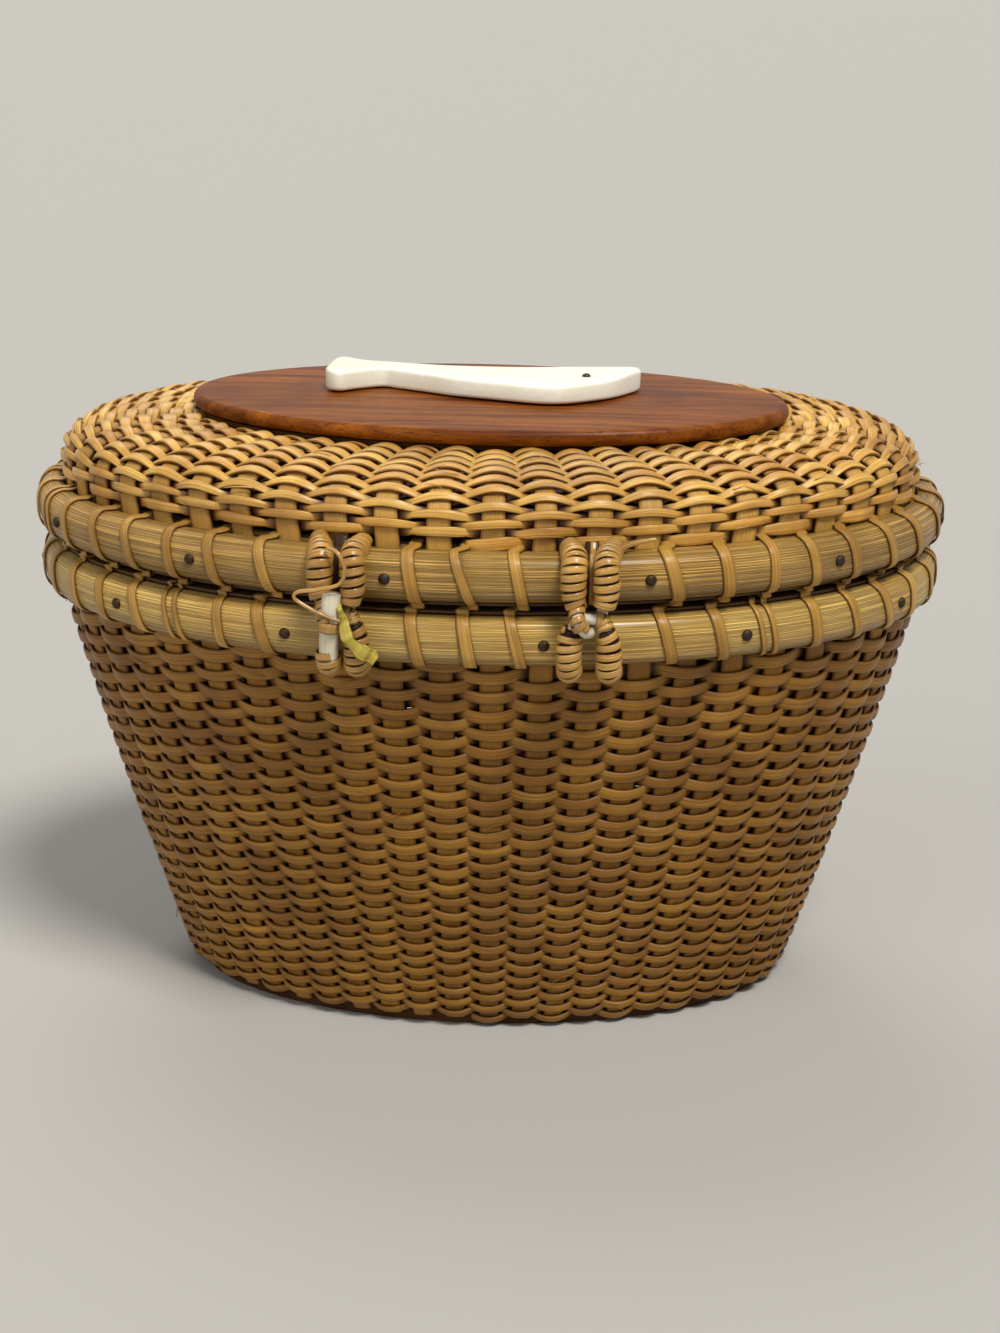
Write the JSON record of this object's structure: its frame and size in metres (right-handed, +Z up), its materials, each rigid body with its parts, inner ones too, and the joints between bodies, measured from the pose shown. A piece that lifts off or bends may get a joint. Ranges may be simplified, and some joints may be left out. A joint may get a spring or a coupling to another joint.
{
  "type": "nantucket basket",
  "caption": "Oval lidded basket of cane woven on wood staves, flaring up from a board base, with lashed hoops, a lid on two cane loop hinges and a wood plate with a carved whale.",
  "frame": {"origin": "middle of the base board's underside, on the surface that the basket stands on", "axes": "+X along the basket's length, -Y towards the hinges, +Z up"},
  "size_m": [0.256, 0.183, 0.1749],
  "materials": {
    "woven_cane": "satin",
    "cane_strip": "satin",
    "hoop_wood": "satin",
    "reed": "matte",
    "board_wood": "satin",
    "mahogany": "gloss",
    "bone": "satin",
    "dark_inlay": "satin",
    "brass_fastener": "aged"
  },
  "bodies": {
    "basket": {"base_board": "board_wood", "body_inner_hoop": "hoop_wood", "body_lashing_left": "cane_strip", "body_lashing_middle": "cane_strip", "body_lashing_right": "cane_strip", "body_nail_01": "brass_fastener", "body_nail_02": "brass_fastener", "body_nail_03": "brass_fastener", "body_nail_04": "brass_fastener", "body_nail_05": "brass_fastener", "body_nail_06": "brass_fastener", "body_nail_07": "brass_fastener", "body_nail_08": "brass_fastener", "body_nail_09": "brass_fastener", "body_nail_10": "brass_fastener", "body_nail_11": "brass_fastener", "body_nail_12": "brass_fastener", "body_outer_hoop": "hoop_wood", "body_rim_cap": "cane_strip", "body_wall": "woven_cane", "hinge_left_lower_loop": "reed", "hinge_left_lower_wrap_a": "cane_strip", "hinge_left_lower_wrap_b": "cane_strip", "hinge_right_lower_loop": "reed", "hinge_right_lower_wrap_a": "cane_strip", "hinge_right_lower_wrap_b": "cane_strip"},
    "lid": {"hinge_left_upper_loop": "reed", "hinge_left_upper_wrap_a": "cane_strip", "hinge_left_upper_wrap_b": "cane_strip", "hinge_right_upper_loop": "reed", "hinge_right_upper_wrap_a": "cane_strip", "hinge_right_upper_wrap_b": "cane_strip", "lid_disc": "board_wood", "lid_inner_hoop": "hoop_wood", "lid_lashing_left": "cane_strip", "lid_lashing_middle": "cane_strip", "lid_lashing_right": "cane_strip", "lid_nail_01": "brass_fastener", "lid_nail_02": "brass_fastener", "lid_nail_03": "brass_fastener", "lid_nail_04": "brass_fastener", "lid_nail_05": "brass_fastener", "lid_nail_06": "brass_fastener", "lid_nail_07": "brass_fastener", "lid_nail_08": "brass_fastener", "lid_nail_09": "brass_fastener", "lid_nail_10": "brass_fastener", "lid_nail_11": "brass_fastener", "lid_nail_12": "brass_fastener", "lid_outer_hoop": "hoop_wood", "lid_plate": "mahogany", "lid_rim_cap": "cane_strip", "lid_wall": "woven_cane", "plate_screw_left": "brass_fastener", "plate_screw_right": "brass_fastener", "whale": "bone", "whale_eye": "dark_inlay", "whale_pin_head": "brass_fastener", "whale_pin_tail": "brass_fastener"}
  },
  "joints": [
    {"name": "lid_hinge", "type": "hinge", "parent": "basket", "child": "lid", "pos_m": [0, -0.08929, 0.1299], "axis": [1, 0, 0], "range_deg": [0, 110]}
  ]
}
